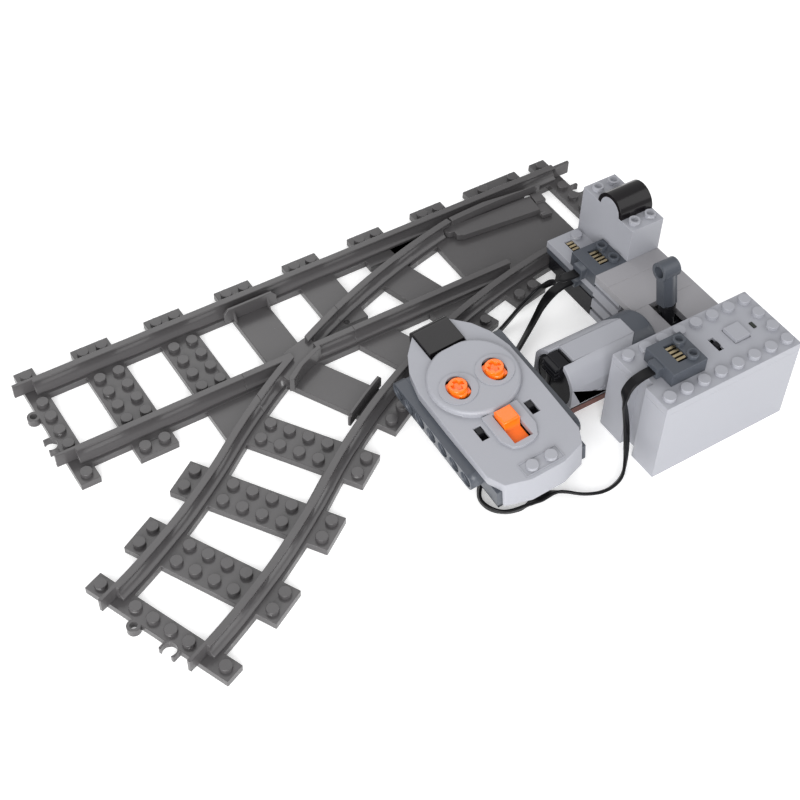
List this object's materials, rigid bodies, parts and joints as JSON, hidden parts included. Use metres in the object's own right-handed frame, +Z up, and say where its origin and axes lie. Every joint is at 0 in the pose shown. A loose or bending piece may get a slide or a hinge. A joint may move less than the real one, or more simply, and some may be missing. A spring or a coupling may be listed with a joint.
{
  "type": "motorised model railway turnout",
  "caption": "Model railway turnout with moving tongue, motor point drive with hand lever, infrared receiver, battery box with plug leads and handheld remote.",
  "frame": {"origin": "on the ground at the middle of the heel end of the straight leg", "axes": "+X along the straight leg from heel to toe, +Y towards the far stock rail, away from the branch, +Z up"},
  "size_m": [0.278, 0.169, 0.0466],
  "materials": {
    "track_plastic": "satin moulded, dark warm grey",
    "light_grey_plastic": "glossy moulded, light bluish grey",
    "tile_plastic": "glossy moulded, light grey",
    "dark_grey_plastic": "glossy moulded, dark bluish grey",
    "black_plastic": "glossy moulded, black",
    "brown_plastic": "glossy moulded, reddish brown",
    "orange_plastic": "glossy moulded, orange",
    "clear_plastic": "clear light pipe",
    "window_plastic": "deep infrared-black, glossy",
    "contact_metal": "plated contact strips",
    "spring_metal": "bright spring plate",
    "motor_metal": "drawn steel",
    "cell_jacket": "plain dark green jacket",
    "board": "circuit board green",
    "gear_plastic": "natural acetal",
    "cord_rubber": "satin black ribbon cable"
  },
  "bodies": {
    "turnout": {"axle_pillar": "black_plastic", "base_plate": "brown_plastic", "battery_case": "light_grey_plastic", "battery_cells": "cell_jacket", "battery_lid": "light_grey_plastic", "battery_springs": "spring_metal", "check_rail_far": "track_plastic", "check_rail_near": "track_plastic", "closure_rail_curved": "track_plastic", "closure_rail_straight": "track_plastic", "contact_strips": "contact_metal", "crossing_frog": "track_plastic", "heel_rail_branch": "track_plastic", "heel_rail_straight": "track_plastic", "indicator_lamp": "clear_plastic", "lead_battery": "cord_rubber", "lead_motor": "cord_rubber", "lower_plate": "black_plastic", "motor_can": "motor_metal", "motor_cowl": "dark_grey_plastic", "motor_rear_cap": "black_plastic", "motor_shell": "light_grey_plastic", "motor_underside": "black_plastic", "plug_battery": "dark_grey_plastic", "plug_receiver": "dark_grey_plastic", "receiver_base": "dark_grey_plastic", "receiver_board": "board", "receiver_shell": "light_grey_plastic", "receiver_stand": "black_plastic", "receiver_window": "window_plastic", "ribbed_wall": "light_grey_plastic", "roof_strip": "tile_plastic", "roof_tile": "tile_plastic", "side_wall": "black_plastic", "slot_tiles": "tile_plastic", "stock_rail_far": "track_plastic", "stock_rail_near": "track_plastic", "track_bed_branch": "track_plastic", "track_bed_main": "track_plastic", "track_bed_toe": "track_plastic"},
    "tongue": {"switch_tongue": "track_plastic"},
    "slide_bar": {"slide_bar": "black_plastic"},
    "drive_shaft": {"drive_axle": "black_plastic", "lever_socket": "black_plastic", "hand_lever": "dark_grey_plastic", "crank_arm": "black_plastic", "output_gear": "gear_plastic"},
    "armature": {"motor_armature": "motor_metal"},
    "power_button": {"power_button": "dark_grey_plastic"},
    "polarity_slider": {"polarity_slider": "black_plastic"},
    "remote": {"remote_base": "dark_grey_plastic", "remote_shell": "light_grey_plastic", "remote_window": "window_plastic", "remote_board": "board", "remote_cells": "cell_jacket"},
    "remote_lever_left": {"remote_lever_left": "orange_plastic"},
    "remote_lever_right": {"remote_lever_right": "orange_plastic"},
    "remote_channel_slider": {"remote_channel_slider": "orange_plastic"},
    "remote_switch_left": {"remote_switch_left": "black_plastic"},
    "remote_switch_right": {"remote_switch_right": "black_plastic"}
  },
  "joints": [
    {"name": "point_drive", "type": "hinge", "parent": "turnout", "child": "drive_shaft", "pos_m": [0.228, -0.088, 0.0152], "axis": [1, 0, 0], "range_deg": [0, 27]},
    {"name": "tongue_swing", "type": "hinge", "parent": "turnout", "child": "tongue", "pos_m": [0.192, 0.01242, 0.005], "axis": [0, 0, 1], "range_deg": [0, 6.41]},
    {"name": "bar_slide", "type": "slide", "parent": "turnout", "child": "slide_bar", "axis": [0, 1, 0], "range_m": [0, 0.00486]},
    {"name": "motor_spin", "type": "hinge", "parent": "turnout", "child": "armature", "pos_m": [0.19, -0.088, 0.0187], "axis": [1, 0, 0], "range_deg": [0, 75]},
    {"name": "power_press", "type": "slide", "parent": "turnout", "child": "power_button", "axis": [0, 0, -1], "range_m": [0, 0.001], "stiffness_N_per_m": 300},
    {"name": "polarity_slide", "type": "slide", "parent": "turnout", "child": "polarity_slider", "axis": [0, 1, 0], "range_m": [-0.0015, 0.0022]},
    {"name": "remote_lift", "type": "slide", "parent": "turnout", "child": "remote", "axis": [0, 0, 1], "range_m": [0, 0.05]},
    {"name": "remote_rock_left", "type": "hinge", "parent": "remote", "child": "remote_lever_left", "pos_m": [0.13333, -0.08022, 0.0217], "axis": [0.9923, -0.0324, 0.1194], "range_deg": [-12, 12], "stiffness_Nm_per_rad": 0.02},
    {"name": "remote_rock_right", "type": "hinge", "parent": "remote", "child": "remote_lever_right", "pos_m": [0.14921, -0.08074, 0.02361], "axis": [0.9923, -0.0324, 0.1194], "range_deg": [-12, 12], "stiffness_Nm_per_rad": 0.02},
    {"name": "remote_channel_slide", "type": "slide", "parent": "remote", "child": "remote_channel_slider", "axis": [-0.0326, -0.9995, 0], "range_m": [0, 0.007]},
    {"name": "remote_reverse_left", "type": "slide", "parent": "remote", "child": "remote_switch_left", "axis": [-0.0326, -0.9995, 0], "range_m": [0, 0.003]},
    {"name": "remote_reverse_right", "type": "slide", "parent": "remote", "child": "remote_switch_right", "axis": [-0.0326, -0.9995, 0], "range_m": [0, 0.003]}
  ],
  "couplings": [
    {"joint": "tongue_swing", "follows": "point_drive", "ratio": 0.23704},
    {"joint": "bar_slide", "follows": "point_drive", "m_per_rad": 0.010311},
    {"joint": "motor_spin", "follows": "point_drive", "ratio": 2.75}
  ]
}
